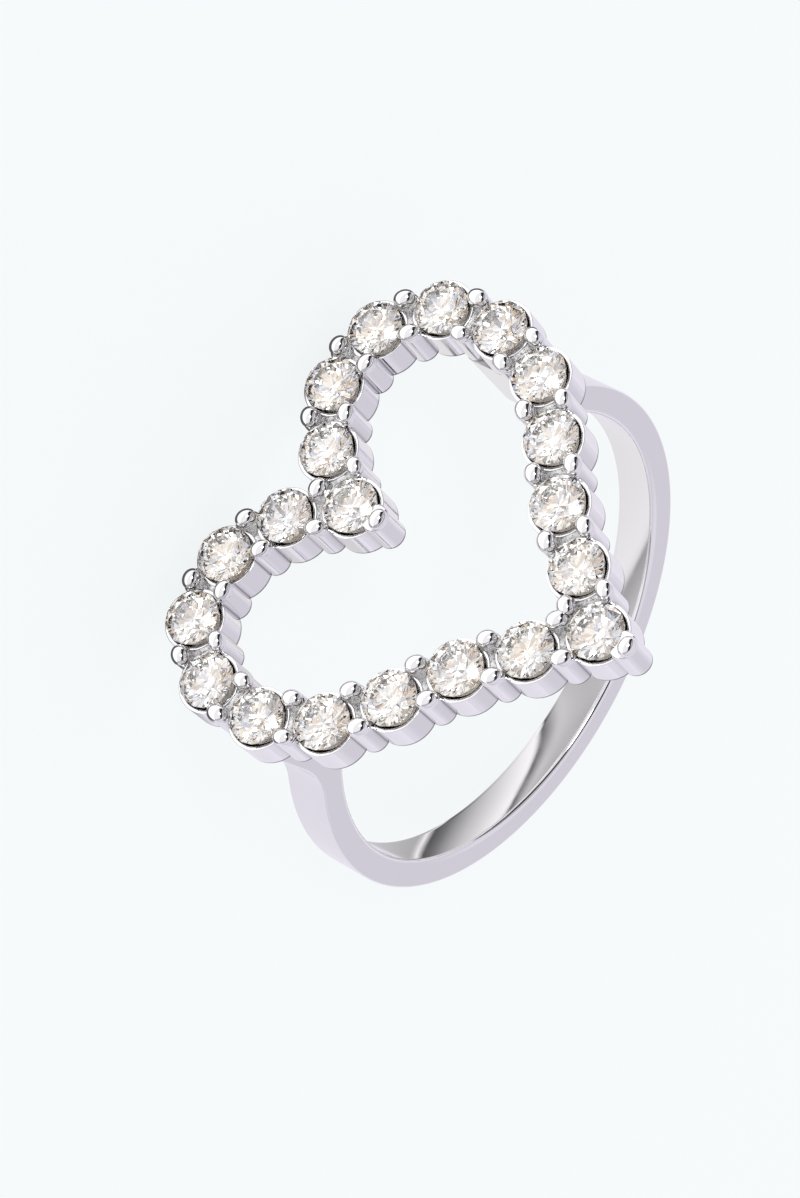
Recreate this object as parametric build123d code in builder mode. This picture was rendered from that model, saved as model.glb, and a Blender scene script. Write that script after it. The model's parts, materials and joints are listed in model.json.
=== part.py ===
from build123d import *
from math import acos, asin, atan2, cos, degrees, hypot, radians, sin, tan
import os

os.makedirs("parts", exist_ok=True)

# An open heart of round stones on a plain ring, lying on its side as it rests by itself.
# All sizes are in millimetres and all angles in degrees.

# The round brilliant-cut stones
stone_diameter = 1.95
girdle_thickness = 0.06
crown_angle = 34.0
pavilion_angle = 41.0
table_share = 0.56          # table width as a share of the stone's diameter
star_share = 0.55           # how far the star facets reach from the table's edge to the girdle
lower_share = 0.78          # how far the lower girdle facets reach from the girdle to the culet
facet_count = 8
turn_step = 17.0            # each stone is turned a little further than the one before it

# The cups that hold the stones
stone_pitch = 2.40          # from one stone's centre to the next
cup_diameter = 2.22
rim_wall = 0.13
girdle_lift = 0.20          # height of the girdle's middle above the rims
seat_depth = 0.32           # from the rim down to the ledge under the stone
heart_depth = 1.35          # from the rims down to the flat underside of the heart
bridge_drop = 0.18          # how far the bridges between cups lie below the rims
contact_gap = 0.03          # between a stone and the metal that holds it

# The prongs: wide columns down the heart's sides, each with a bead on top near its outer face
column_diameter = 1.00
column_offset = 0.46        # sideways from the line through two cups' centres
column_tip = 1.05           # from a stone's centre to the column at its tip
column_lift = 0.28          # height of the columns' tops above the rims
recess_width = 0.80         # between two columns that face each other across the line
bead_diameter = 0.64
bead_offset = 0.66          # sideways from the line through two cups' centres
bead_tip = 1.27             # from a stone's centre to the bead at its tip
bead_lift = 0.10            # height of a bead's centre above the girdle's middle

# The heart's right half, from the point stone to the cleft stone: the heading of each step from one
# stone to the next. The last step closes the half on the centre line.
step_headings = (49.5, 49.0, 39.0, 44.0, 68.5, 95.5, 131.5, 173.5, 210.0)
widest_step = 5             # the step along the lobe's widest place, where the shank meets the heart
topmost_stone = 7           # the lobe stone that sets the heart's middle height

# The shank
finger_diameter = 17.3      # a ring of US size 7
shank_thickness = 1.06
shank_width = 1.71
shank_shift = 0.63          # from the middle of the lobe's widest place towards the point
shoulder_width = 1.92       # where a shoulder meets the heart's underside
hole_drop = 0.74            # from the heart's underside down to the top of the finger hole
nose_angle = 41.0           # where the shoulders leave the finger hole, from its top
shoulder_angle = 54.0       # where they leave the shank's outer face
nose_round = 0.6
shoulder_round = 3.0
inner_edge_round = 0.20
outer_edge_round = 0.08
same_radius = 0.001         # two radii closer than this are one

# Sizes worked out from the ones above
stone_radius = stone_diameter / 2
cup_radius = cup_diameter / 2
cup_bore = cup_radius - rim_wall
table_radius = stone_radius * table_share
crown_height = (stone_radius - table_radius) * tan(radians(crown_angle))
pavilion_depth = stone_radius * tan(radians(pavilion_angle))
girdle_top = girdle_lift + girdle_thickness / 2
girdle_bottom = girdle_lift - girdle_thickness / 2
bead_radius = bead_diameter / 2
column_radius = column_diameter / 2
bead_height = girdle_lift + bead_lift
finger_radius = finger_diameter / 2
shank_radius = finger_radius + shank_thickness
hole_centre = -heart_depth - hole_drop - finger_radius

# A stone's pavilion narrows to this radius where it passes the ledge, and the hole below just clears it
pavilion_at_seat = stone_radius - (girdle_bottom + seat_depth) / tan(radians(pavilion_angle))
seat_hole_radius = pavilion_at_seat + contact_gap


def heart_half():
    """Stone centres of the right half, point first and cleft last, with the heart's middle at height 0."""
    steps_out = sum(cos(radians(heading)) for heading in step_headings)
    closing_heading = 360 - degrees(acos(-steps_out))
    points = [Vector(0, 0)]
    for heading in (*step_headings, closing_heading):
        step = Vector(stone_pitch, 0).rotate(Axis.Z, heading)
        points.append(points[-1] + step)
    middle = Vector(0, points[topmost_stone].Y / 2)
    return [point - middle for point in points]


right_half = heart_half()
left_half = [Vector(-point.X, point.Y) for point in right_half[-2:0:-1]]
stone_centres = right_half + left_half
links = list(zip(stone_centres, stone_centres[1:] + stone_centres[:1]))
point_stone = right_half[0]
cleft_stone = right_half[-1]


def prong_places(offset, tip):
    """Every prong's place: one each side of each link, except that the cleft's two outer ones are one, which
    stands as far from its stone as theirs would. The two tips have one each."""
    places = []
    for start, end in links:
        middle = (start + end) / 2
        sideways = (end - start).normalized().rotate(Axis.Z, 90) * offset
        places.append(middle + sideways)
        if cleft_stone not in (start, end):
            places.append(middle - sideways)
    places.append(cleft_stone + Vector(0, hypot(stone_pitch / 2, offset)))
    places.append(cleft_stone - Vector(0, tip))
    places.append(point_stone - Vector(0, tip))
    return places


columns = prong_places(column_offset, column_tip)
beads = prong_places(bead_offset, bead_tip)
widest = (right_half[widest_step] + right_half[widest_step + 1]) / 2

# The ring rests on the bottom edges of its two lobes and on the side of the shank's lowest place.
# lean is the angle between the heart's face and the upright.
lobe_reach = max(point.Y for point in stone_centres) + cup_radius
shank_height = widest.Y - shank_shift
edge_side = shank_height + shank_width / 2 - outer_edge_round
edge_depth = shank_radius - hole_centre - outer_edge_round
rise = lobe_reach - edge_side
run = edge_depth - heart_depth
lean = degrees(atan2(rise, run) - asin(outer_edge_round / hypot(rise, run)))
upright = cos(radians(lean))
sideways_lean = sin(radians(lean))

# The frame's origin is on the floor, under the middle of the ring's box
floor_drop = lobe_reach * upright + heart_depth * sideways_lean
front_reach = max(place.Y * sideways_lean + bead_height * upright for place in beads) + bead_radius
near_side = shank_height - shank_width / 2 + outer_edge_round
back_reach = edge_depth * upright - near_side * sideways_lean + outer_edge_round
ring_plane = Plane(
    origin=(0, (front_reach - back_reach) / 2, floor_drop),
    x_dir=(-1, 0, 0),
    z_dir=(0, -upright, sideways_lean),
)


# Each link's middle and heading, in the plane of the heart
link_locations = []
for start, end in links:
    middle = (start + end) / 2
    along = end - start
    link_locations.append(Location((middle.X, middle.Y, 0), (0, 0, degrees(atan2(along.Y, along.X)))))


def level(height, centre=Vector(0, 0), turn=0.0):
    """A plane parallel to the heart's face, at this height above the rims and over this centre."""
    return Plane(
        origin=ring_plane.from_local_coords((centre.X, centre.Y, height)),
        x_dir=ring_plane.x_dir.rotate(Axis((0, 0, 0), ring_plane.z_dir), turn),
        z_dir=ring_plane.z_dir,
    )


def around_hole(angle, radius):
    """A point beside the finger hole, at this angle from the hole's top."""
    return (radius * sin(radians(angle)), hole_centre + radius * cos(radians(angle)))


def mirrored(point):
    return (-point[0], point[1])


# One profile of the shank and its shoulders, seen along the finger
shank_plane = Plane(
    origin=ring_plane.from_local_coords((0, shank_height, 0)),
    x_dir=ring_plane.x_dir,
    z_dir=-ring_plane.y_dir,
)
inner_foot = around_hole(nose_angle, finger_radius)
outer_foot = around_hole(shoulder_angle, shank_radius)
inner_top = (widest.X - shoulder_width / 2, -heart_depth)
outer_top = (widest.X + shoulder_width / 2, -heart_depth)

with BuildPart() as ring_body:
    with BuildSketch(shank_plane) as shank_profile:
        with BuildLine():
            Polyline(inner_foot, inner_top, outer_top, outer_foot)
            ThreePointArc(outer_foot, (0, hole_centre - shank_radius), mirrored(outer_foot))
            Polyline(mirrored(outer_foot), mirrored(outer_top), mirrored(inner_top), mirrored(inner_foot))
            ThreePointArc(mirrored(inner_foot), (0, hole_centre - finger_radius), inner_foot)
        make_face()
        for foot in (inner_foot, mirrored(inner_foot)):
            fillet(vertices().sort_by_distance(foot)[0], nose_round)
        for foot in (outer_foot, mirrored(outer_foot)):
            fillet(vertices().sort_by_distance(foot)[0], shoulder_round)
    extrude(amount=shank_width / 2, both=True)
    round_edges = edges().filter_by(GeomType.CIRCLE)
    fillet([edge for edge in round_edges if abs(edge.radius - finger_radius) < same_radius], inner_edge_round)
    fillet(edges().filter_by(GeomType.CIRCLE).sort_by(SortBy.RADIUS)[-2:], outer_edge_round)

    # The columns, and the lower bridges between the cups
    with BuildSketch(level(-heart_depth)):
        with Locations(*columns):
            Circle(column_radius)
        with Locations(*link_locations):
            Rectangle(stone_pitch, 2 * column_offset)
    extrude(amount=heart_depth - bridge_drop)

    # Above the bridges, a recess parts the columns that face each other
    with BuildSketch(level(-bridge_drop)):
        with Locations(*columns):
            Circle(column_radius)
        with Locations(*link_locations):
            Rectangle(column_diameter, recess_width, mode=Mode.SUBTRACT)
    extrude(amount=bridge_drop + column_lift)

    # The cups, full height
    with BuildSketch(level(-heart_depth)):
        with Locations(*stone_centres):
            Circle(cup_radius)
    extrude(amount=heart_depth)

    # The bore, the ledge and the hole under each stone
    with BuildSketch(level(0)):
        with Locations(*stone_centres):
            Circle(cup_bore)
    extrude(amount=-seat_depth, mode=Mode.SUBTRACT)
    with BuildSketch(level(0)):
        with Locations(*stone_centres):
            Circle(seat_hole_radius)
    extrude(amount=-heart_depth - contact_gap, mode=Mode.SUBTRACT)

    with Locations(*[level(bead_height, place) for place in beads]):
        Sphere(bead_radius)

    # Room for each stone, so that the prongs lap over its edge without touching it
    with Locations(*[level(0, centre) for centre in stone_centres]):
        Cylinder(
            stone_radius + contact_gap,
            girdle_top,
            align=(Align.CENTER, Align.CENTER, Align.MIN),
            mode=Mode.SUBTRACT,
        )
    with Locations(*[level(girdle_top, centre) for centre in stone_centres]):
        Cone(
            stone_radius + contact_gap,
            table_radius + contact_gap,
            crown_height,
            align=(Align.CENTER, Align.CENTER, Align.MIN),
            mode=Mode.SUBTRACT,
        )

ring_body.part.label = "ring_body"
export_step(ring_body.part, "parts/ring_body.step")


def ring_of_corners(radius, height, count, first=0.0):
    """Evenly spaced corners round the stone's axis, starting at this share of a step."""
    step = 360 / count
    return [
        Vector(radius, 0, height).rotate(Axis.Z, (k + first) * step)
        for k in range(count)
    ]


def brilliant_corners():
    """The corners of a round brilliant, with its girdle's middle at height 0 and flat facets throughout."""
    facet_step = 360 / facet_count
    half_step = cos(radians(facet_step / 2))
    half_girdle = girdle_thickness / 2
    table_flat = table_radius * half_step
    star_radius = table_flat + star_share * (stone_radius - table_flat)
    star_drop = (stone_radius - star_radius * half_step) / (stone_radius - table_radius)
    lower_radius = (1 - lower_share) * stone_radius
    lower_drop = 1 - lower_radius * half_step / stone_radius
    return [
        *ring_of_corners(table_radius, half_girdle + crown_height, facet_count),
        *ring_of_corners(star_radius, half_girdle + crown_height * star_drop, facet_count, 0.5),
        *ring_of_corners(stone_radius, half_girdle, 2 * facet_count),
        *ring_of_corners(stone_radius, -half_girdle, 2 * facet_count),
        *ring_of_corners(lower_radius, -half_girdle - pavilion_depth * lower_drop, facet_count, 0.5),
        Vector(0, 0, -half_girdle - pavilion_depth),
    ]


for number, centre in enumerate(stone_centres, start=1):
    name = f"stone_{number:02d}"
    with BuildPart(level(girdle_lift, centre, number * turn_step)) as stone:
        ConvexPolyhedron(brilliant_corners())
    stone.part.label = name
    export_step(stone.part, f"parts/{name}.step")
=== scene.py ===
import json
import math
from itertools import compress

import bpy
from mathutils import Matrix, Vector


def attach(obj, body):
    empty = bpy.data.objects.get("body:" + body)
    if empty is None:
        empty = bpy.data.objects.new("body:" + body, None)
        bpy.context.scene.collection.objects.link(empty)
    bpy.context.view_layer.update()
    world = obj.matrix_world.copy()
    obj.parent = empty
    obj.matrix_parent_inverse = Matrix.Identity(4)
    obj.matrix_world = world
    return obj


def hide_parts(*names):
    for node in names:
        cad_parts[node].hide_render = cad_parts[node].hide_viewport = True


bl_info = {
    "name": "Silver ring with an open heart of stones",
    "version": (1, 0, 0),
    "blender": (4, 5, 0),
    "location": "View3D > Sidebar > Ring",
    "description": "Dresses the packed ring: shank, cups, bridges, prongs, stones and studio",
    "category": "Object",
}

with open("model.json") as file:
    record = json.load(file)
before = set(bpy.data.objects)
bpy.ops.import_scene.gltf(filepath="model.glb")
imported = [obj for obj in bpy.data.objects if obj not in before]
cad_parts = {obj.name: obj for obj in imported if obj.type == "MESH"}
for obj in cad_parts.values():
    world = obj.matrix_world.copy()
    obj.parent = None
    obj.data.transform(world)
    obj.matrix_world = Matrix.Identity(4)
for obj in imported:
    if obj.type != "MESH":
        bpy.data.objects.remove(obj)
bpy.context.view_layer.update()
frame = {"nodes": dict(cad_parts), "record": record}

MM = 0.001

# A painted dark line of shade along the heart's foot: between which heights over the flat underside it starts,
# between which it ends, in millimetres, and how bright it is
FOOT_LINE_START = (0.022, 0.030)
FOOT_LINE_END = (0.09, 0.12)
FOOT_LINE_SHADE = 0.25

# The stones: their ground girdle's middle over the cups' rims and half its height, in millimetres, and how
# strongly they bend light
GIRDLE_LIFT = 0.20
GIRDLE_HALF = 0.032
STONE_IOR = 2.15

# The ledge round a stone, in shares of the cup's bore: an inner edge loop, and the gap painted black as shade
LEDGE_LOOP = 0.64
GAP_START = 0.80
GAP_END = 0.995

# Steps along a straight shoulder, along its rounded corner and round the finger hole
SHANK_STEPS = (10, 14, 120)

# Sizes in millimetres: how near counts as the same place, and how far the shoulders go up into the heart
NEAR = 0.01
SAME_LEVEL = 0.001
SUNK = 0.1

# The floor: where its strips start and end from front to back, in millimetres, and its half width in metres
FLOOR_STRIPS = (-15, -1)
FLOOR_REACH = 3.0

# The cards on the floor inside the finger hole: how far they fade past its wall, in millimetres, and then an
# angle round the hole from its foot, in degrees, with the shade there
CARDS_FADE = 0.3
CARDS = (
    (-70, 0.72), (-42.5, 0.46), (-41.5, 1.0), (-39.8, 1.0), (-39, 0.07), (-34, 0.18), (-29, 0.40),
    (-23.5, 0.62), (-17.5, 0.80), (-11, 1.0), (-6, 1.12), (-4.5, 0.08), (-2, 0.30), (2, 0.66),
    (7, 0.55), (20, 0.36), (22, 0.85), (26, 0.95), (41, 0.90), (70, 0.86),
)

# The dark streak beside the camera: how far its middle lies to the right, and where its edge fades
STREAK_MIDDLE = 0.42
STREAK_EDGE = (0.15, 0.27)

# Where the white light goes over into the backdrop, towards the back
BACKDROP_EDGE = (-0.01, 0.03)

# The key light's place, its width and where it looks, in metres
KEY_PLACE = Vector((-0.10, -0.36, 0.34))
KEY_WIDTH = 0.16
LIGHT_AIM = Vector((0, 0, 0.008))

# The camera, in the ring's own millimetres: its place, what it looks at and which way is up in the picture
CAMERA_PLACE = Vector((-16.03, -62.015, 108.757))
CAMERA_AIM = Vector((-1.98, -2.805, 10.857))
PICTURE_UP = Vector((0.8424, 0.3989, 0.3622))
SENSOR_WIDTH = 36

# The ring's own axes, read from the packed finger hole. Places below are in millimetres from the hole's
# middle: x across the heart, y from the heart's point towards its lobes, z out of the heart's face.
hole = next(mount for mount in frame["record"]["mounts"] if mount["name"] == "finger_hole")
hole_middle = Vector(hole["pos_m"])
ring_y = -Vector(hole["axis"]).normalized()
ring_x = Vector((-1, 0, 0))
ring_z = ring_x.cross(ring_y)
ring_matrix = Matrix((ring_x, ring_y, ring_z)).transposed().to_4x4()
ring_matrix.translation = hole_middle


def to_world(x, y, z):
    """A place in the ring's own millimetres, as a place in the frame in metres."""
    return ring_matrix @ (Vector((x, y, z)) * MM)


def to_ring(point):
    """A place in the frame in metres, in the ring's own millimetres."""
    return (ring_matrix.inverted() @ point) / MM


def stone_corners(name):
    """The different corners of one packed stone, in the ring's own millimetres."""
    found = {}
    for vertex in frame["nodes"][name].data.vertices:
        corner = to_ring(vertex.co)
        found[tuple(round(value, 3) for value in corner)] = corner
    return list(found.values())


stone_names = sorted(name for name in frame["nodes"] if name.startswith("stone_"))
stone_places = []
for stone_name in stone_names:
    corners = stone_corners(stone_name)
    stone_places.append(sum(corners, Vector()) / len(corners))
table_top = max(corner.z for corner in stone_corners(stone_names[0]))

# The stones run round the heart in the order of their numbers, from the point stone
point_stone = stone_places[0]
cleft_stone = stone_places[len(stone_places) // 2]
widest_stones = (stone_places[5], stone_places[6])
unturned = [Vector((1, 0, 0))] * len(stone_places)


def a_length(name, description, millimetres):
    """A size that a user may change, kept in metres."""
    return bpy.props.FloatProperty(
        name=name, description=description, default=millimetres * MM, min=0.0, precision=5, unit="LENGTH"
    )


def a_colour(name, description, colour):
    """A colour that a user may change."""
    return bpy.props.FloatVectorProperty(
        name=name, description=description, default=colour, min=0.0, max=1.0, size=3, subtype="COLOR"
    )


def a_share(name, description, share, top=1.0):
    """A share or a slope that a user may change."""
    return bpy.props.FloatProperty(name=name, description=description, default=share, min=0.0, max=top)


def an_angle(name, description, degrees):
    """An angle that a user may change, kept in radians."""
    return bpy.props.FloatProperty(
        name=name, description=description, default=math.radians(degrees), subtype="ANGLE"
    )


class ShankSizes(bpy.types.PropertyGroup):
    """Sizes of the shank and the shoulders that carry the heart."""

    finger_diameter: a_length("Finger diameter", "Inside of the shank", 2 * hole["dims"]["r_mm"])
    thickness: a_length("Thickness", "From the finger side to the outer face", 1.06)
    width: a_length("Width", "Along the finger", 1.71)
    shoulder_width: a_length("Shoulder width", "Where a shoulder meets the heart", 1.92)
    nose_round: a_length("Nose rounding", "Where a shoulder leaves the finger hole", 2.0)
    shoulder_round: a_length("Shoulder rounding", "Where a shoulder leaves the outer face", 3.0)
    inner_edge: a_length("Inner edge rounding", "Edges round the finger", 0.20)
    outer_edge: a_length("Outer edge rounding", "Edges of the outer face", 0.08)
    nose_angle: an_angle("Nose angle", "From the top of the finger hole", 50)
    shoulder_angle: an_angle("Shoulder angle", "From the top of the shank", 54)


class HeartSizes(bpy.types.PropertyGroup):
    """Sizes of the cups, bridges and prongs of the heart."""

    table_height: a_length("Table height", "From the rims up to the stones' tables", 0.519)
    depth: a_length("Heart depth", "From the rims down to the flat underside", 1.35)
    cup_radius: a_length("Cup radius", "Outside of a cup", 1.11)
    cup_wall: a_length("Cup wall", "Thickness of a cup's rim", 0.13)
    seat_depth: a_length("Seat depth", "From the rim down to the ledge", 0.32)
    seat_hole: a_length("Seat hole radius", "The hole under a stone", 0.441)
    rim_round: a_length("Rim rounding", "Edges of the rims", 0.03)
    foot_round: a_length("Foot rounding", "Lower edges of cups and columns", 0.05)
    bridge_drop: a_length("Bridge drop", "From the rims down to the bridges", 0.09)
    bridge_saddle: a_length("Bridge saddle", "How far a bridge's middle rises", 0.04)
    column_radius: a_length("Column radius", "A prong's column", 0.50)
    column_offset: a_length("Column offset", "Sideways from the line of the stones", 0.46)
    column_tip: a_length("Column at a tip", "From its stone's middle", 1.05)
    column_lift: a_length("Column lift", "From the rims up to the columns' tops", 0.28)
    column_round: a_length("Column rounding", "Upper edge of a column", 0.14)
    recess_width: a_length("Recess width", "Between two facing columns, at the bridge", 0.66)
    recess_flare: a_share("Recess flare", "How fast the recess widens upwards", 0.85, top=3.0)
    bead_length: a_length("Bead length", "Half of it, along the line of the stones", 0.38)
    bead_width: a_length("Bead width", "Half of it, across the line of the stones", 0.31)
    bead_rise: a_length("Bead rise", "From a bead's middle up to its top", 0.30)
    bead_offset: a_length("Bead offset", "Sideways from the line of the stones", 0.68)
    bead_tip: a_length("Bead at a tip", "From its stone's middle", 1.27)
    bead_height: a_length("Bead height", "From the rims up to a bead's middle", 0.30)
    stone_room: a_length("Stone room", "Left between a prong and the stone it holds", 0.012)
    size_spread: a_share("Size spread", "How much the beads differ in size", 0.05)
    lean_spread: an_angle("Lean spread", "How much the beads lean", 1.6)
    seed: bpy.props.IntProperty(name="Seed", description="Seed of the small differences", default=7)


class Finishes(bpy.types.PropertyGroup):
    """Colours of the metal and the stones."""

    silver: a_colour("Silver", "Polished silver", (0.85, 0.84, 0.86))
    # Painted shade in the seams of polished silver, and the dark pits between the grains of cast silver
    crevice: a_colour("Crevice", "Silver deep in a seam", (0.05, 0.05, 0.055))
    cast: a_colour("Cast silver", "Rough silver between the cups", (0.80, 0.79, 0.79))
    seat: a_colour("Seat", "Bright silver under the stones", (0.96, 0.93, 0.88))
    # Painted shade: near black, where little light reaches the gap between a stone and its rim
    gap: a_colour("Gap", "The dark gap between a stone and its rim", (0.004, 0.004, 0.004))
    girdle: a_colour("Girdle", "The stones' ground edges", (0.30, 0.25, 0.21))
    stone: a_colour("Stone", "Most facets", (1.0, 1.0, 1.0))
    # Painted fire: cream and blue-grey facet tints that stand in for coloured light in the facets
    stone_warm: a_colour("Warm facets", "Facets with a cream tint", (0.97, 0.88, 0.76))
    stone_cool: a_colour("Cool facets", "Facets with a blue-grey tint", (0.78, 0.81, 0.90))


class Studio(bpy.types.PropertyGroup):
    """The floor, the lights and the camera."""

    floor: a_colour("Floor", "The pale floor", (0.13, 0.136, 0.138))
    floor_glow: a_colour("Floor glow", "Light that comes through the floor", (0.815, 0.845, 0.85))
    floor_mirrored: a_colour("Mirrored floor", "Behind the ring, in the metal", (0.83, 0.81, 0.885))
    # A painted shadow on the floor under the heart, which only the metal shows
    floor_dark: a_colour("Shaded floor", "Under the heart, in the metal", (0.10, 0.10, 0.11))
    cards: a_colour("Cards", "White of the cards inside the finger hole", (0.98, 0.97, 0.98))
    backdrop: a_colour("Backdrop", "Lavender light from behind the ring", (0.83, 0.81, 0.885))
    backdrop_fold: a_colour("Backdrop fold", "The duller stripe above its foot", (0.73, 0.705, 0.775))
    front: a_colour("Front", "White light from the camera's side", (1.0, 1.0, 1.0))
    horizon: a_colour("Horizon", "What shows past the floor's edge", (0.92, 0.955, 0.965))
    seam: a_colour("Seam", "The dark streak beside the front light", (0.03, 0.03, 0.035))
    sparkle: a_colour("Sparkle", "What most facets of a stone show", (0.95, 0.93, 0.915))
    sparkle_warm: a_colour("Warm sparkle", "Cream light in a stone", (0.74, 0.63, 0.54))
    sparkle_cool: a_colour("Cool sparkle", "Blue-grey light in a stone", (0.56, 0.59, 0.69))
    sparkle_dark: a_colour("Dark sparkle", "Dark glints in a stone", (0.26, 0.23, 0.21))
    key_power: bpy.props.FloatProperty(
        name="Key light", description="Power of the key light", default=0.35, unit="POWER"
    )
    focal_length: bpy.props.FloatProperty(
        name="Focal length", description="Of the camera, for a 36 mm sensor", default=106.67, unit="CAMERA"
    )


def new_object(name, data):
    """A new object in the scene, at the origin."""
    thing = bpy.data.objects.new(name, data)
    bpy.context.scene.collection.objects.link(thing)
    return thing


def remove(*things):
    """Takes objects that only helped out of the file again."""
    for thing in things:
        bpy.data.objects.remove(thing)


def mesh_object(name, vertices, faces, material=None):
    """A smooth-shaded object at the origin, from places in metres and faces that point outwards."""
    mesh = bpy.data.meshes.new(name)
    mesh.from_pydata([tuple(vertex) for vertex in vertices], [], faces)
    mesh.validate()
    mesh.shade_smooth()
    if material:
        mesh.materials.append(material)
    return new_object(name, mesh)


def closed_tube_faces(rings, around):
    """Quads of a tube of this many rings, with a flat end face on the first and the last ring."""
    faces = []
    for ring in range(rings - 1):
        for k in range(around):
            after = (k + 1) % around
            faces.append((
                ring * around + k,
                ring * around + after,
                (ring + 1) * around + after,
                (ring + 1) * around + k,
            ))
    faces.append(tuple(reversed(range(around))))
    faces.append(tuple((rings - 1) * around + k for k in range(around)))
    return faces


def corner_arc(centre, radius, start, end, steps):
    """Places on an arc in a plane, by angles in degrees."""
    arc = []
    for k in range(steps + 1):
        angle = math.radians(start + (end - start) * k / steps)
        arc.append((centre[0] + radius * math.cos(angle), centre[1] + radius * math.sin(angle)))
    return arc


def turned_shape(name, profile, around):
    """A closed shape turned round z from a profile of (radius, height) places. Radius 0 makes a pole."""
    vertices, rows = [], []
    for radius, height in profile:
        if radius == 0:
            rows.append([len(vertices)])
            vertices.append(Vector((0, 0, height)) * MM)
            continue
        rows.append(list(range(len(vertices), len(vertices) + around)))
        for k in range(around):
            angle = math.tau * k / around
            vertices.append(Vector((radius * math.cos(angle), radius * math.sin(angle), height)) * MM)
    faces = []
    pairs = list(zip(rows, rows[1:]))
    if len(rows[0]) > 1:
        pairs.append((rows[-1], rows[0]))
    for lower, upper in pairs:
        for k in range(around):
            after = (k + 1) % around
            if len(lower) == 1:
                faces.append((lower[0], upper[after], upper[k]))
            elif len(upper) == 1:
                faces.append((lower[k], lower[after], upper[0]))
            else:
                faces.append((lower[k], lower[after], upper[after], upper[k]))
    return mesh_object(name, vertices, faces)


def points_object(name, places, directions):
    """Bare points in the frame, each with the direction that the pattern's x axis takes there."""
    mesh = bpy.data.meshes.new(name)
    mesh.from_pydata([tuple(to_world(*place)) for place in places], [], [])
    along = mesh.attributes.new("along", "FLOAT_VECTOR", "POINT")
    for item, direction in zip(along.data, directions):
        item.vector = ring_matrix.to_3x3() @ Vector((direction.x, direction.y, 0)).normalized()
    return new_object(name, mesh)


def plain_colour(colour):
    """A colour with full cover."""
    return (*colour, 1.0)


def times(factor, colour):
    """A colour made lighter or darker."""
    return [factor * part for part in colour]


def feed(tree, node, inputs):
    """Fills a node's inputs. Each gets a value, or a link from another node's socket."""
    for name, source in inputs.items():
        if isinstance(source, bpy.types.NodeSocket):
            tree.links.new(source, node.inputs[name])
        else:
            node.inputs[name].default_value = source


def added(tree, kind, inputs=None, **settings):
    """The outputs of a new node with these settings and these inputs."""
    node = tree.nodes.new(kind)
    for name, value in settings.items():
        setattr(node, name, value)
    feed(tree, node, inputs or {})
    return node.outputs


def vector_maths(tree, operation, *sources, output="Vector"):
    """What a vector maths node works out from sockets and vectors."""
    return added(tree, "ShaderNodeVectorMath", dict(enumerate(sources)), operation=operation)[output]


def calculated(tree, operation, *sources):
    """What a maths node works out from sockets and numbers."""
    return added(tree, "ShaderNodeMath", dict(enumerate(sources)), operation=operation)["Value"]


def remapped(tree, source, given, wanted):
    """One value spread from one range to another, and kept inside it."""
    names = ("Value", "From Min", "From Max", "To Min", "To Max")
    return added(tree, "ShaderNodeMapRange", dict(zip(names, (source, *given, *wanted))))["Result"]


def ramp_colour(tree, source, stops, interpolation="LINEAR"):
    """The colour that a ramp gives a value. Each stop is a place and a colour."""
    ramp = tree.nodes.new("ShaderNodeValToRGB")
    feed(tree, ramp, {"Fac": source})
    ramp.color_ramp.interpolation = interpolation
    elements = ramp.color_ramp.elements
    elements.remove(elements[-1])
    elements[0].position, elements[0].color = stops[0][0], plain_colour(stops[0][1])
    for place, colour in stops[1:]:
        elements.new(place).color = plain_colour(colour)
    return ramp.outputs["Color"]


def mixed(tree, factor, first, second):
    """A mix of two colours. Each is either a colour or a socket."""
    inputs = {"Factor": factor}
    for name, source in (("A", first), ("B", second)):
        inputs[name] = source if isinstance(source, bpy.types.NodeSocket) else plain_colour(source)
    return added(tree, "ShaderNodeMix", inputs, data_type="RGBA")["Result"]


def on_object(tree):
    """A place in the object's own coordinates."""
    return added(tree, "ShaderNodeTexCoord")["Object"]


def along_axis(tree, place, axis):
    """How far a place lies along an axis."""
    return vector_maths(tree, "DOT_PRODUCT", place, axis, output="Value")


def height_over_foot(tree):
    """How high a place of the ring lies over the heart's flat underside, in metres."""
    above = vector_maths(tree, "SUBTRACT", on_object(tree), to_world(0, 0, heart_foot()))
    return along_axis(tree, above, ring_z)


def round_the_hole(tree):
    """A place's angle round the finger hole from its foot, and its distance from the hole's axis, in metres."""
    place = vector_maths(tree, "SUBTRACT", on_object(tree), hole_middle)
    across, down = (along_axis(tree, place, axis) for axis in (ring_x, -ring_z))
    flat = added(tree, "ShaderNodeCombineXYZ", {0: across, 1: down})["Vector"]
    return calculated(tree, "ARCTAN2", across, down), vector_maths(tree, "LENGTH", flat, output="Value")


def noise_on_object(tree, scale, detail, roughness=0.5):
    """Noise in the object's own coordinates. scale is in waves per metre."""
    inputs = {"Vector": on_object(tree), "Scale": scale, "Detail": detail, "Roughness": roughness}
    return added(tree, "ShaderNodeTexNoise", inputs)["Fac"]


def uneven(tree, height, strength, distance):
    """The direction of a surface that a value makes uneven. distance is its greatest height, in millimetres."""
    inputs = {"Height": height, "Strength": strength, "Distance": distance * MM}
    return added(tree, "ShaderNodeBump", inputs)["Normal"]


def new_material(name):
    """A material with only its output and its main shader, with its node tree."""
    material = bpy.data.materials.new(name)
    material.use_nodes = True
    return material, material.node_tree, material.node_tree.nodes["Principled BSDF"]


def heart_rims():
    """The height of the cups' rims, in the ring's own millimetres."""
    return table_top - bpy.context.scene.ring_heart.table_height / MM


def heart_foot():
    """The height of the heart's flat underside, in the ring's own millimetres."""
    heart = bpy.context.scene.ring_heart
    return table_top - (heart.table_height + heart.depth) / MM


def on_rims(places):
    """These places, brought to the level of the cups' rims."""
    rims = heart_rims()
    return [Vector((place.x, place.y, rims)) for place in places]


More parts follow.
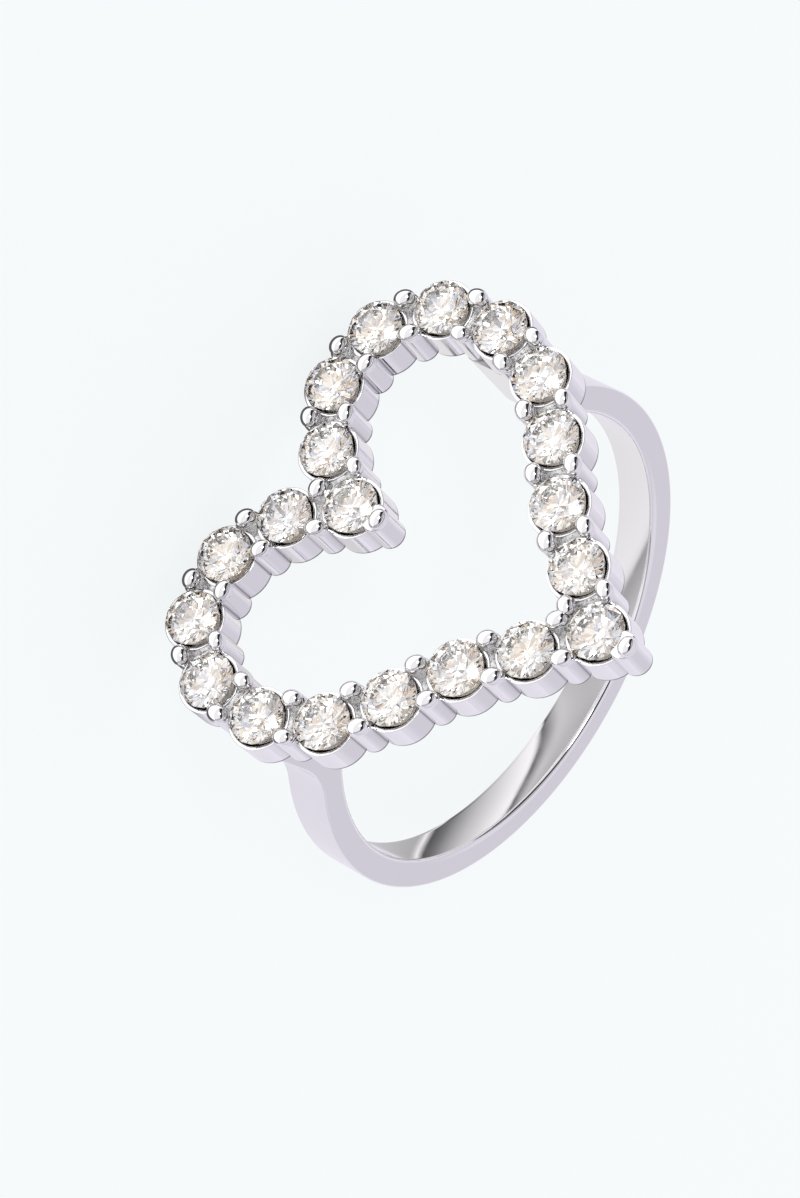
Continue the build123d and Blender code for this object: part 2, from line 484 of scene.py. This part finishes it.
def neighbours():
    """The pairs of neighbouring stones, in order round the heart."""
    return list(zip(stone_places, stone_places[1:] + stone_places[:1]))


def between_stones():
    """The middles between neighbouring stones at the rims, and the ways from one stone to the next."""
    pairs = neighbours()
    return on_rims((start + end) / 2 for start, end in pairs), [end - start for start, end in pairs]


def repeating_tree():
    """The node tree that sets a pattern on every point, turned as the point says, each a little different."""
    tree = bpy.data.node_groups.new("set_on_points", "GeometryNodeTree")
    tree.is_modifier = True
    tree.interface.new_socket("Geometry", in_out="OUTPUT", socket_type="NodeSocketGeometry")
    for name, kind in (
        ("Geometry", "Geometry"),
        ("Pattern", "Object"),
        ("Outward", "Vector"),
        ("Size spread", "Float"),
        ("Lean spread", "Float"),
        ("Seed", "Int"),
        ("Finish", "Material"),
    ):
        tree.interface.new_socket(name, in_out="INPUT", socket_type="NodeSocket" + kind)

    given = added(tree, "NodeGroupInput")
    pattern = added(tree, "GeometryNodeObjectInfo", {"Object": given["Pattern"], "As Instance": True})
    along = added(tree, "GeometryNodeInputNamedAttribute", {"Name": "along"}, data_type="FLOAT_VECTOR")
    axes = {"Primary Axis": given["Outward"], "Secondary Axis": along["Attribute"]}
    facing = added(tree, "FunctionNodeAxesToRotation", axes, primary_axis="Z", secondary_axis="X")

    # A small lean about the pattern's own x and y axes
    limits = {"Min": (-1, -1, 0), "Max": (1, 1, 0), "Seed": given["Seed"]}
    lean = added(tree, "FunctionNodeRandomValue", limits, data_type="FLOAT_VECTOR")
    scaling = {0: lean["Value"], "Scale": given["Lean spread"]}
    scaled = added(tree, "ShaderNodeVectorMath", scaling, operation="SCALE")
    as_turn = added(tree, "FunctionNodeEulerToRotation", {"Euler": scaled["Vector"]})
    turns = {"Rotation": facing["Rotation"], "Rotate By": as_turn["Rotation"]}
    turned = added(tree, "FunctionNodeRotateRotation", turns, rotation_space="LOCAL")

    # A small difference in size, the same along all three axes
    least = calculated(tree, "SUBTRACT", 1.0, given["Size spread"])
    most = calculated(tree, "ADD", 1.0, given["Size spread"])
    size = added(tree, "FunctionNodeRandomValue", {2: least, 3: most, "Seed": given["Seed"]}, data_type="FLOAT")

    instances = added(tree, "GeometryNodeInstanceOnPoints", {
        "Points": given["Geometry"],
        "Instance": pattern["Geometry"],
        "Rotation": turned["Rotation"],
        "Scale": size[1],
    })
    solid = added(tree, "GeometryNodeRealizeInstances", {"Geometry": instances["Instances"]})
    dressing = {"Geometry": solid["Geometry"], "Material": given["Finish"]}
    added(tree, "NodeGroupOutput", {"Geometry": added(tree, "GeometryNodeSetMaterial", dressing)["Geometry"]})
    return tree


def made_plain(name, maker):
    """Turns what an object's modifiers make into a plain mesh object of this name, and removes the maker."""
    graph = bpy.context.evaluated_depsgraph_get()
    mesh = bpy.data.meshes.new_from_object(maker.evaluated_get(graph))
    mesh.name = name
    remove(maker)
    return new_object(name, mesh)


def repeated(name, pattern, places, directions, finish, size_spread=0.0, lean_spread=0.0, seed=0):
    """One plain mesh with the pattern set on every place. The pattern stays for further use."""
    tree = bpy.data.node_groups.get("set_on_points") or repeating_tree()
    maker = points_object(name + "_points", places, directions)
    modifier = maker.modifiers.new("set_on_points", "NODES")
    modifier.node_group = tree
    values = {
        "Pattern": pattern,
        "Outward": tuple(ring_z),
        "Size spread": size_spread,
        "Lean spread": lean_spread,
        "Seed": seed,
        "Finish": finish,
    }
    for item in tree.interface.items_tree:
        if item.in_out == "INPUT" and item.name in values:
            modifier[item.identifier] = values[item.name]
    return made_plain(name, maker)


def combined(name, first, second, operation, keep_second=False):
    """A union or a difference of two closed meshes, as one plain mesh."""
    modifier = first.modifiers.new(operation, "BOOLEAN")
    modifier.operation = operation
    modifier.solver = "MANIFOLD"
    modifier.object = second
    result = made_plain(name, first)
    if not keep_second:
        remove(second)
    return result


def added_finish(thing, material):
    """Adds a finish to a piece's list, and gives its number there."""
    thing.data.materials.append(material)
    return len(thing.data.materials) - 1


def hand_over(piece, angle):
    """Shades a piece smooth but for edges sharper than an angle in degrees, and tells the frame which body it
    rides on and which solid it replaces."""
    piece.data.shade_smooth()
    piece.data.set_sharp_from_angle(angle=math.radians(angle))
    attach(piece, "root")
    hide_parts("ring_body")


def polished_silver(name="polished_silver", reach=0.14, open_at=0.80):
    """Mirror-polished silver with painted shade: ambient occlusion darkens it deep in its seams, and a thin
    painted dark line of shade runs along the heart's foot.
    reach is how far a seam darkens it, in millimetres, and open_at how open a place is that stays bright."""
    if name in bpy.data.materials:
        return bpy.data.materials[name]
    colours = bpy.context.scene.ring_finishes
    material, tree, shader = new_material(name)
    # Painted shade: the more closed in a place is, the nearer its colour goes to the seam shade colour, and a
    # painted dark line runs along the heart's foot
    hidden = added(tree, "ShaderNodeAmbientOcclusion", {"Distance": reach * MM}, samples=6)
    openness = remapped(tree, hidden["AO"], (0.10, open_at), (0.0, 1.0))
    height = height_over_foot(tree)
    under = remapped(tree, height, [place * MM for place in FOOT_LINE_START], (1.0, 0.0))
    above = remapped(tree, height, [place * MM for place in FOOT_LINE_END], (FOOT_LINE_SHADE, 1.0))
    unshaded = calculated(tree, "MULTIPLY", openness, calculated(tree, "MAXIMUM", above, under))
    # Polishing leaves patches that are a little less bright, and waves that are hardly seen
    cloud = noise_on_object(tree, 900, detail=4)
    waves = noise_on_object(tree, 1400, detail=2)
    feed(tree, shader, {
        "Metallic": 1.0,
        "Base Color": mixed(tree, unshaded, colours.crevice, colours.silver),
        "Roughness": remapped(tree, cloud, (0.35, 0.70), (0.055, 0.115)),
        "Normal": uneven(tree, waves, strength=0.05, distance=0.02),
    })
    return material


def seat_silver():
    """Bright silver under a stone."""
    seat = bpy.context.scene.ring_finishes.seat
    material, tree, shader = new_material("seat_silver")
    speckle = noise_on_object(tree, 5000, detail=3)
    feed(tree, shader, {
        "Metallic": 1.0,
        "Base Color": mixed(tree, speckle, seat, times(0.8, seat)),
        "Roughness": remapped(tree, speckle, (0.3, 0.7), (0.25, 0.40)),
    })
    return material


def gap_silver():
    """Near-black painted shade on the silver deep in the gap round a stone."""
    gap = bpy.context.scene.ring_finishes.gap
    material, tree, shader = new_material("gap_silver")
    speckle = noise_on_object(tree, 4000, detail=3)
    feed(tree, shader, {
        "Base Color": mixed(tree, speckle, gap, times(2.5, gap)),
        "Roughness": 0.6,
        "Specular IOR Level": 0.1,
    })
    return material


def cast_silver():
    """Silver as it came from the mould: small bright grains with dark pits between them."""
    name = "cast_silver"
    if name in bpy.data.materials:
        return bpy.data.materials[name]
    colours = bpy.context.scene.ring_finishes
    material, tree, shader = new_material(name)
    grain = noise_on_object(tree, 9000, detail=5, roughness=0.65)
    feed(tree, shader, {
        "Metallic": 1.0,
        "Base Color": ramp_colour(tree, grain, [(0.32, colours.crevice), (0.47, colours.cast)]),
        "Roughness": remapped(tree, grain, (0.3, 0.7), (0.45, 0.18)),
        "Normal": uneven(tree, grain, strength=0.8, distance=0.05),
    })
    return material


def cut_stone():
    """Clear stone that bends light strongly. Each facet has its own faint painted tint, by the way it faces,
    which stands in for the coloured fire and reflections in a cut stone.
    """
    colours, heart = bpy.context.scene.ring_finishes, bpy.context.scene.ring_heart
    material, tree, shader = new_material("cut_stone")
    facing = added(tree, "ShaderNodeNewGeometry")["True Normal"]
    snapped = vector_maths(tree, "SNAP", facing, (0.05, 0.05, 0.05))
    draw = {"Vector": snapped, "W": added(tree, "ShaderNodeObjectInfo")["Random"]}
    chance = added(tree, "ShaderNodeTexWhiteNoise", draw, noise_dimensions="4D")["Value"]
    # Painted fire: most facets stay clear, and some take the cream or the blue-grey tint
    tints = [(0.0, colours.stone), (0.62, colours.stone_warm), (0.84, colours.stone_cool)]
    tint = ramp_colour(tree, chance, tints, "CONSTANT")

    # The girdle is ground, not polished, and shows as a thin brownish line round the stone
    girdle = heart.depth + GIRDLE_LIFT * MM
    band = calculated(tree, "COMPARE", height_over_foot(tree), girdle, GIRDLE_HALF * MM)
    feed(tree, shader, {
        "Base Color": mixed(tree, band, tint, colours.girdle),
        "Roughness": 0.0,
        "IOR": STONE_IOR,
        "Transmission Weight": 1.0,
    })
    return material


def pale_floor():
    """A plain pale floor with a very faint unevenness. The metal mirrors it as lavender behind the ring, dark
    under the heart as a painted shadow, white in front of it, and with cards inside the finger hole."""
    studio = bpy.context.scene.ring_studio
    material, tree, shader = new_material("pale_floor")
    cloud = noise_on_object(tree, 14, detail=2)
    base = mixed(tree, cloud, studio.floor, times(1.012, studio.floor))
    parts = added(tree, "ShaderNodeSeparateXYZ", {"Vector": on_object(tree)})
    depth = remapped(tree, parts["Y"], [place * MM for place in FLOOR_STRIPS], (0.0, 1.0))
    # Only mirrors see these strips: white in front, a painted shadow under the heart, and lavender behind
    strips = ramp_colour(tree, depth, [
        (0.20, times(1.35, studio.front)),
        (0.26, studio.floor_dark),
        (0.50, studio.floor_dark),
        (0.80, studio.floor_mirrored),
    ])
    # The shank's inner face mirrors these light and dark cards as bands
    turn, reach = round_the_hole(tree)
    stops = [(0.5 + angle / 360, times(shade, studio.cards)) for angle, shade in CARDS]
    cards = ramp_colour(tree, remapped(tree, turn, (-math.pi, math.pi), (0.0, 1.0)), stops)
    finger = bpy.context.scene.ring_shank.finger_diameter / 2
    inside = remapped(tree, reach, (finger, finger + CARDS_FADE * MM), (1.0, 0.0))
    mirrored = mixed(tree, inside, strips, cards)
    mirror_ray = added(tree, "ShaderNodeLightPath")["Is Glossy Ray"]
    feed(tree, shader, {
        "Base Color": mixed(tree, mirror_ray, base, (0, 0, 0)),
        "Emission Color": mixed(tree, mirror_ray, studio.floor_glow, mirrored),
        "Emission Strength": 1.0,
        "Roughness": 0.6,
        "Specular IOR Level": 0.2,
    })
    return material


def rounded_side(top, radius, foot, rounding):
    """One side of the shank as seen along the finger: a straight shoulder, a rounded corner, and a quarter
    turn and more round the hole down to the lowest place. top and foot are in the ring's x and z."""
    straight = (foot - top).normalized()
    outward = Vector((-straight.y, straight.x))
    if outward.x < 0:
        outward = -outward
    lead = top + outward * rounding
    half = lead.dot(straight)
    far = -half - math.sqrt(half * half - lead.length_squared + (radius + rounding) ** 2)
    centre = lead + straight * far
    leaves = top + straight * far
    lands = centre * radius / (radius + rounding)

    def turn_of(place, middle):
        away = place - middle
        return math.atan2(away.y, away.x)

    first, last = turn_of(leaves, centre), turn_of(lands, centre)
    swing = (last - first + math.pi) % math.tau - math.pi
    landing = turn_of(lands, Vector((0, 0)))
    straight_steps, corner_steps, round_steps = SHANK_STEPS
    path = [top.lerp(leaves, k / straight_steps) for k in range(straight_steps)]
    for k in range(corner_steps):
        angle = first + swing * k / corner_steps
        path.append(centre + rounding * Vector((math.cos(angle), math.sin(angle))))
    for k in range(round_steps + 1):
        angle = landing + (-math.pi / 2 - landing) * k / round_steps
        path.append(radius * Vector((math.cos(angle), math.sin(angle))))
    return path


def whole_path(half_path):
    """A half path from a shoulder's top down to the lowest place, and its mirror image up again."""
    return half_path + [Vector((-place.x, place.y)) for place in half_path[-2::-1]]


def path_normals(path):
    """The direction away from the hole's side at each place of a path, square to it."""
    normals = []
    for k in range(len(path)):
        run = path[min(k + 1, len(path) - 1)] - path[max(k - 1, 0)]
        normals.append(Vector((-run.y, run.x)).normalized())
    return normals


class RING_OT_shank(bpy.types.Operator):
    """Make the shank with its two shoulders, polished and with rounded edges"""

    bl_idname = "ring.shank"
    bl_label = "Shank"

    def execute(self, context):
        sizes = context.scene.ring_shank
        finger = sizes.finger_diameter / MM / 2
        half_width = sizes.width / MM / 2
        half_shoulder = sizes.shoulder_width / MM / 2
        middle = (widest_stones[0].x + widest_stones[1].x) / 2
        sides = []
        for sign, radius, angle, rounding in (
            (-1, finger, sizes.nose_angle, sizes.nose_round),
            (1, finger + sizes.thickness / MM, sizes.shoulder_angle, sizes.shoulder_round),
        ):
            foot = Vector((radius * math.sin(angle), radius * math.cos(angle)))
            # Both lines start at the heart's underside and go a little way up into the metal above it
            top = Vector((middle + sign * half_shoulder, heart_foot()))
            buried = top + (top - foot).normalized() * SUNK
            sides.append(whole_path(rounded_side(buried, radius, foot, rounding / MM)))
        inner, outer = sides
        inner_out, outer_out = path_normals(inner), path_normals(outer)

        def across_width(place, outwards, edge, sign):
            """One face across the shank's width with its two rounded edges, from one side to the other."""
            # An edge loop this far beside a rounding keeps the flat next to it flat
            hold = 0.012
            turn = [(half_width, edge + hold)]
            turn += corner_arc((half_width - edge, edge), edge, 0, -90, 8)
            turn.append((half_width - edge - hold, 0.0))
            line = []
            for across, height in turn + [(-across, height) for across, height in reversed(turn)]:
                spot = place + outwards * height * sign
                line.append(to_world(spot.x, across, spot.y))
            return line

        vertices = []
        for k in range(len(inner)):
            vertices += across_width(inner[k], inner_out[k], sizes.inner_edge / MM, 1)
            vertices += reversed(across_width(outer[k], outer_out[k], sizes.outer_edge / MM, -1))
        faces = closed_tube_faces(len(inner), len(vertices) // len(inner))
        shank = mesh_object("shank", vertices, faces, polished_silver())
        if not points_outwards(shank):
            shank.data.flip_normals()
        hand_over(shank, 40)
        return {"FINISHED"}


def points_outwards(thing):
    """Whether a closed mesh has its faces pointing outwards, from the sign of its volume."""
    faces = thing.data.polygons
    return sum(face.normal.dot(face.center - hole_middle) * face.area for face in faces) > 0


def prong_places(offset, tip):
    """Every prong's place at the rims, and the direction from it towards the row of stones."""
    shared = math.hypot((stone_places[1] - stone_places[0]).to_2d().length / 2, offset)
    places, inwards = [], []
    for start, end in neighbours():
        middle = (start + end) / 2
        along = (end - start).normalized()
        sideways = Vector((-along.y, along.x, 0))
        for sign in (1, -1):
            # In the cleft the two outer prongs are one, which comes below
            if sign == -1 and cleft_stone in (start, end):
                continue
            places.append(middle + sideways * offset * sign)
            inwards.append(-sideways * sign)
    for stone, sign, reach in ((cleft_stone, 1, shared), (cleft_stone, -1, tip), (point_stone, -1, tip)):
        places.append(stone + Vector((0, reach * sign, 0)))
        inwards.append(Vector((0, -sign, 0)))
    return on_rims(places), inwards


class RING_OT_cups(bpy.types.Operator):
    """Make the twenty cups that the stones sit in"""

    bl_idname = "ring.cups"
    bl_label = "Cups"

    def execute(self, context):
        heart = context.scene.ring_heart
        rims = heart_rims()
        outside = heart.cup_radius / MM
        bore = outside - heart.cup_wall / MM
        ledge, foot = -heart.seat_depth / MM, -heart.depth / MM
        seat, rim, base = heart.seat_hole / MM, heart.rim_round / MM, heart.foot_round / MM
        # An edge loop this far beside a rounding keeps the wall next to it straight
        hold = 0.006
        profile = [(seat, foot + base)]
        profile += corner_arc((seat + base, foot + base), base, 180, 270, 3)[1:]
        profile += corner_arc((outside - base, foot + base), base, -90, 0, 4)
        profile += [(outside, foot + base + hold), (outside, -rim - hold)]
        profile += corner_arc((outside - rim, -rim), rim, 0, 90, 5)
        profile += corner_arc((bore + rim, -rim), rim, 90, 180, 5)
        profile += [(bore, -rim - hold)] + [(share * bore, ledge) for share in (1.0, GAP_START, LEDGE_LOOP)]
        profile += corner_arc((seat + base, ledge - base), base, 90, 180, 3)
        pattern = turned_shape("cup_pattern", profile, 96)
        places, silver = on_rims(stone_places), polished_silver()
        # Neighbouring cups share a sliver of wall, so every other cup is made first and the two sets are joined
        sets = [repeated("cups_" + str(k), pattern, places[k::2], unturned[k::2], silver) for k in (0, 1)]
        remove(pattern)
        cups = combined("cups", sets[0], sets[1], "UNION")
        seat_finish = added_finish(cups, seat_silver())
        gap_shade_finish = added_finish(cups, gap_silver())
        for face in cups.data.polygons:
            middle = to_ring(face.center)
            from_stone = min((place - middle).to_2d().length for place in stone_places)
            below = rims - middle.z
            if from_stone < bore + NEAR and rim + NEAR < below < heart.depth / MM - NEAR:
                # The gap under the rim is painted black as shade, and the rest of the bore gets the bright seat
                # silver
                in_gap = GAP_START * bore < from_stone < GAP_END * bore
                dark = in_gap and below < heart.seat_depth / MM + NEAR
                face.material_index = gap_shade_finish if dark else seat_finish
        hand_over(cups, 35)
        return {"FINISHED"}


def bridge_pattern(heart):
    """A bridge between two cups: its saddle-shaped top, its flat underside and the walls round it."""
    pitch = (stone_places[1] - stone_places[0]).to_2d().length
    inside_wall = (heart.cup_radius - heart.cup_wall / 2) / MM
    half = heart.column_offset / MM
    drop, saddle = -heart.bridge_drop / MM, heart.bridge_saddle / MM
    # How wide the saddle's ridge is, how far the bridge climbs up the cups' walls, and how far its underside
    # stands back from theirs
    ridge, climb, back = 0.22, 0.05, 0.02
    foot = -heart.depth / MM + back
    rows, columns = 28, 10
    top, bottom = [], []
    for j in range(rows + 1):
        side = -half + 2 * half * j / rows
        gap = pitch / 2 - math.sqrt(inside_wall**2 - side**2)
        for i in range(columns + 1):
            across = -gap + 2 * gap * i / columns
            rise = saddle * math.exp(-((side / ridge) ** 2)) + climb * (across / gap) ** 2
            top.append(Vector((across, side, drop + rise)) * MM)
            bottom.append(Vector((across, side, foot)) * MM)
    wide, size = columns + 1, len(top)
    faces = []
    for j in range(rows):
        for i in range(columns):
            a, b = j * wide + i, j * wide + i + 1
            c, d = a + wide, b + wide
            faces.append((a, b, d, c))
            faces.append((size + a, size + c, size + d, size + b))
    edge = list(range(wide))
    edge += [j * wide + columns for j in range(1, rows + 1)]
    edge += [rows * wide + i for i in range(columns - 1, -1, -1)]
    edge += [j * wide for j in range(rows - 1, 0, -1)]
    for here, there in zip(edge, edge[1:] + edge[:1]):
        faces.append((here, size + here, size + there, there))
    return mesh_object("bridge_pattern", top + bottom, faces)


class RING_OT_bridges(bpy.types.Operator):
    """Make the rough cast bridges that join each cup to the next"""

    bl_idname = "ring.bridges"
    bl_label = "Bridges"

    def execute(self, context):
        pattern = bridge_pattern(context.scene.ring_heart)
        bridges = repeated("bridges", pattern, *between_stones(), cast_silver())
        remove(pattern)
        hand_over(bridges, 50)
        return {"FINISHED"}


class RING_OT_prongs(bpy.types.Operator):
    """Make the prongs: wide columns down the heart's sides, each with an oval bead on top"""

    bl_idname = "ring.prongs"
    bl_label = "Prongs"

    def execute(self, context):
        heart = context.scene.ring_heart
        middles, ways = between_stones()
        room, gap = stone_room_pattern(heart), recess_pattern(heart)
        stone_room = repeated("stone_room", room, on_rims(stone_places), unturned, None)
        recesses = repeated("recesses", gap, middles, ways, None)
        remove(room, gap)

        # The columns stand upright. The beads on them lean and differ a little, as pressed by hand.
        silver = polished_silver("prong_silver", reach=0.45, open_at=0.75)
        column, bead = column_pattern(heart), bead_pattern(heart)
        places, inwards = prong_places(heart.column_offset / MM, heart.column_tip / MM)
        tops, facing = prong_places(heart.bead_offset / MM, heart.bead_tip / MM)
        halves = []
        # Prongs that touch each other stand in different halves, so that no mesh crosses itself
        for side in (1, -1):
            here = [(place.x > -NEAR) == (side > 0) for place in places]
            at_foot = [list(compress(values, here)) for values in (places, inwards)]
            at_top = [list(compress(values, here)) for values in (tops, facing)]
            columns = repeated("columns", column, *at_foot, silver)
            spread = (heart.size_spread, heart.lean_spread, heart.seed + side)
            beads = repeated("beads", bead, *at_top, silver, *spread)
            columns = combined("columns", columns, recesses, "DIFFERENCE", keep_second=True)
            halves.append(combined("prongs_half", columns, beads, "UNION"))
        remove(column, bead, recesses)
        prongs = combined("prongs", halves[0], halves[1], "UNION")
        prongs = combined("prongs", prongs, stone_room, "DIFFERENCE")

        # The walls of the recesses stay rough
        cast_finish = added_finish(prongs, cast_silver())
        rows = [(middle, way.normalized()) for middle, way in zip(middles, ways)]
        for face in prongs.data.polygons:
            spot = to_ring(face.center)
            middle, along = min(rows, key=lambda row: (row[0] - spot).to_2d().length)
            aside = abs(along.cross(spot - middle).z)
            height = spot.z - heart_rims()
            if abs(aside - recess_half(heart, height)) < NEAR and height < heart.column_lift / MM:
                face.material_index = cast_finish
        hand_over(prongs, 35)
        return {"FINISHED"}


def column_pattern(heart):
    """A prong's column with its rounded top, upright on the rims' level."""
    radius, top, foot = heart.column_radius / MM, heart.column_lift / MM, -heart.depth / MM
    base, rounding = heart.foot_round / MM, heart.column_round / MM
    # An edge loop this far beside a rounding keeps the wall next to it straight
    hold = 0.01
    profile = [(0, foot)]
    profile += corner_arc((radius - base, foot + base), base, -90, 0, 4)
    profile += [(radius, foot + base + hold), (radius, top - rounding - hold)]
    profile += corner_arc((radius - rounding, top - rounding), rounding, 0, 90, 8)
    profile += [(0, top)]
    return turned_shape("column_pattern", profile, 72)


def bead_pattern(heart):
    """An oval bead. Its longer way lies along the pattern's y axis, and its middle is at the beads' height."""
    rise, high = heart.bead_rise / MM, heart.bead_height / MM
    profile = [(0, -1)] + corner_arc((0, 0), 1, -84, 84, 22) + [(0, 1)]
    bead = turned_shape("bead_pattern", profile, 40)
    for vertex in bead.data.vertices:
        x, y, z = vertex.co
        vertex.co = (x * heart.bead_width / MM, y * heart.bead_length / MM, z * rise + high * MM)
    return bead


def recess_half(heart, height):
    """Half the recess's width at a height over the rims, in millimetres."""
    return heart.recess_width / MM / 2 + heart.recess_flare * (height + heart.bridge_drop / MM)


def recess_pattern(heart):
    """The empty space between two columns that face each other, from inside the bridge to over the beads."""
    long, over = heart.column_radius / MM, 1.0
    corners = []
    for z in (-2 * heart.bridge_drop / MM, over):
        wide = recess_half(heart, z)
        corners += [Vector((x * long, y * wide, z)) * MM for x, y in ((-1, -1), (1, -1), (1, 1), (-1, 1))]
    faces = [(3, 2, 1, 0), (4, 5, 6, 7), (0, 1, 5, 4), (1, 2, 6, 5), (2, 3, 7, 6), (3, 0, 4, 7)]
    return mesh_object("recess_pattern", corners, faces)


def stone_room_pattern(heart):
    """The space that a stone needs: its girdle and crown with a little room round them, and the cup's own bore
    below the rims."""
    corners = stone_corners(stone_names[0])

    def out(corner):
        """How far a corner lies from the stone's axis."""
        return (corner - stone_places[0]).to_2d().length

    room, rims = heart.stone_room / MM, heart_rims()
    reach = max(out(corner) for corner in corners)
    table = max(out(corner) for corner in corners if corner.z > table_top - SAME_LEVEL)
    girdle = max(corner.z for corner in corners if out(corner) > reach - SAME_LEVEL)
    bore = (heart.cup_radius - heart.cup_wall) / MM
    ledge = -heart.seat_depth / MM
    profile = [
        (0, ledge),
        (bore, ledge),
        (bore, 0),
        (reach + room, 0),
        (reach + room, girdle - rims + room),
        (table + room, table_top - rims + room),
        (0, table_top - rims + room),
    ]
    return turned_shape("room_pattern", profile, 96)


class RING_OT_stones(bpy.types.Operator):
    """Give every packed stone its clear faceted finish"""

    bl_idname = "ring.stones"
    bl_label = "Stones"

    def execute(self, context):
        finish = cut_stone()
        for name in stone_names:
            mesh = frame["nodes"][name].data
            mesh.materials.clear()
            mesh.materials.append(finish)
            mesh.shade_flat()
        return {"FINISHED"}


def camera_axes():
    """The picture's right, up and backward directions, in the frame."""
    turn = ring_matrix.to_3x3()
    back = (turn @ (CAMERA_PLACE - CAMERA_AIM)).normalized()
    up = turn @ PICTURE_UP
    right = up.cross(back).normalized()
    return right, back.cross(right), back


def studio_world(studio):
    """Light from all round: a lavender backdrop behind the ring, white light from the camera's side, and a dark
    streak beside the camera. Inside the stones it breaks into patches, and the camera sees a pale horizon."""
    world = bpy.data.worlds.new("studio")
    bpy.context.scene.world = world
    world.use_nodes = True
    tree = world.node_tree
    way = added(tree, "ShaderNodeTexCoord")["Generated"]
    parts = added(tree, "ShaderNodeSeparateXYZ", {"Vector": way})
    behind = ramp_colour(tree, parts["Z"], [
        (0.10, studio.backdrop),
        (0.24, studio.backdrop_fold),
        (0.36, studio.backdrop_fold),
        (0.60, studio.backdrop),
    ])
    before = ramp_colour(tree, calculated(tree, "MULTIPLY", parts["Y"], -1.0), [
        (0.02, times(0.3, studio.front)),
        (0.16, times(0.5, studio.front)),
        (0.34, studio.front),
    ])

    # The dark streak beside the camera, which the beads mirror
    right = along_axis(tree, way, camera_axes()[0])
    beside = calculated(tree, "ABSOLUTE", calculated(tree, "SUBTRACT", right, STREAK_MIDDLE))
    light = mixed(tree, remapped(tree, beside, STREAK_EDGE, (1.0, 0.0)), before, studio.seam)
    light = mixed(tree, remapped(tree, parts["Y"], BACKDROP_EDGE, (0.0, 1.0)), light, behind)

    # Many small lamps and dark gaps, which only the stones show
    patches = added(tree, "ShaderNodeTexVoronoi", {"Vector": way, "Scale": 5.0})
    chance = added(tree, "ShaderNodeSeparateColor", {"Color": patches["Color"]})["Red"]
    sparkles = [
        (0.0, studio.sparkle),
        (0.46, studio.sparkle_warm),
        (0.76, studio.sparkle_cool),
        (0.89, studio.sparkle_dark),
    ]
    ray = added(tree, "ShaderNodeLightPath")
    light = mixed(tree, ray["Is Transmission Ray"], light, ramp_colour(tree, chance, sparkles, "CONSTANT"))
    light = mixed(tree, ray["Is Camera Ray"], light, studio.horizon)
    feed(tree, tree.nodes["Background"], {"Color": light, "Strength": 1.0})


def soft_light(name, place, power, width):
    """A square soft light that looks at the ring."""
    lamp = bpy.data.lights.new(name, "AREA")
    lamp.energy = power
    lamp.size = width
    thing = new_object(name, lamp)
    thing.location = place
    thing.rotation_euler = (LIGHT_AIM - place).to_track_quat("-Z", "Y").to_euler()


class RING_OT_stage(bpy.types.Operator):
    """Set the floor, the lights and the camera"""

    bl_idname = "ring.stage"
    bl_label = "Stage"

    def execute(self, context):
        scene, studio = context.scene, context.scene.ring_studio
        corners = [(x * FLOOR_REACH, y * FLOOR_REACH, 0) for x, y in ((-1, -1), (1, -1), (1, 1), (-1, 1))]
        mesh_object("floor", corners, [(0, 1, 2, 3)], pale_floor())
        studio_world(studio)
        soft_light("key", KEY_PLACE, studio.key_power, KEY_WIDTH)

        right, up, back = camera_axes()
        camera = bpy.data.cameras.new("camera")
        camera.lens = studio.focal_length
        camera.sensor_width = SENSOR_WIDTH
        camera.clip_start = 0.01
        camera.clip_end = 20
        eye = new_object("camera", camera)
        stand = Matrix((right, up, back)).transposed().to_4x4()
        stand.translation = to_world(*CAMERA_PLACE)
        eye.matrix_world = stand
        scene.camera = eye
        scene.view_settings.view_transform = "Standard"
        # Light goes round inside a stone many times before it comes out
        scene.cycles.max_bounces = 24
        scene.cycles.transmission_bounces = 24
        scene.cycles.glossy_bounces = 12
        return {"FINISHED"}


class RING_PT_panel(bpy.types.Panel):
    """Lists the steps that dress the ring, and the sizes and colours they use"""

    bl_idname = "RING_PT_panel"
    bl_label = "Heart ring"
    bl_space_type = "VIEW_3D"
    bl_region_type = "UI"
    bl_category = "Ring"

    def draw(self, context):
        for step in steps:
            self.layout.operator(step.bl_idname)
        for group, kind in groups.items():
            box = self.layout.box()
            box.label(text=kind.__doc__)
            for name in kind.__annotations__:
                box.prop(getattr(context.scene, group), name)


steps = (RING_OT_shank, RING_OT_cups, RING_OT_bridges, RING_OT_prongs, RING_OT_stones, RING_OT_stage)
groups = {
    "ring_shank": ShankSizes,
    "ring_heart": HeartSizes,
    "ring_finishes": Finishes,
    "ring_studio": Studio,
}


def register():
    """Makes the panel, the steps and the sizes known, in the order that they need each other."""
    for name, kind in groups.items():
        bpy.utils.register_class(kind)
        setattr(bpy.types.Scene, name, bpy.props.PointerProperty(type=kind))
    for kind in (*steps, RING_PT_panel):
        bpy.utils.register_class(kind)


def unregister():
    """Takes back what register made known."""
    for kind in (RING_PT_panel, *reversed(steps)):
        bpy.utils.unregister_class(kind)
    for name, kind in groups.items():
        delattr(bpy.types.Scene, name)
        bpy.utils.unregister_class(kind)


def main():
    """Makes the dressed ring and its stage."""
    register()
    bpy.ops.ring.shank()
    bpy.ops.ring.cups()
    bpy.ops.ring.bridges()
    bpy.ops.ring.prongs()
    bpy.ops.ring.stones()
    bpy.ops.ring.stage()


if __name__ == "__main__":
    main()
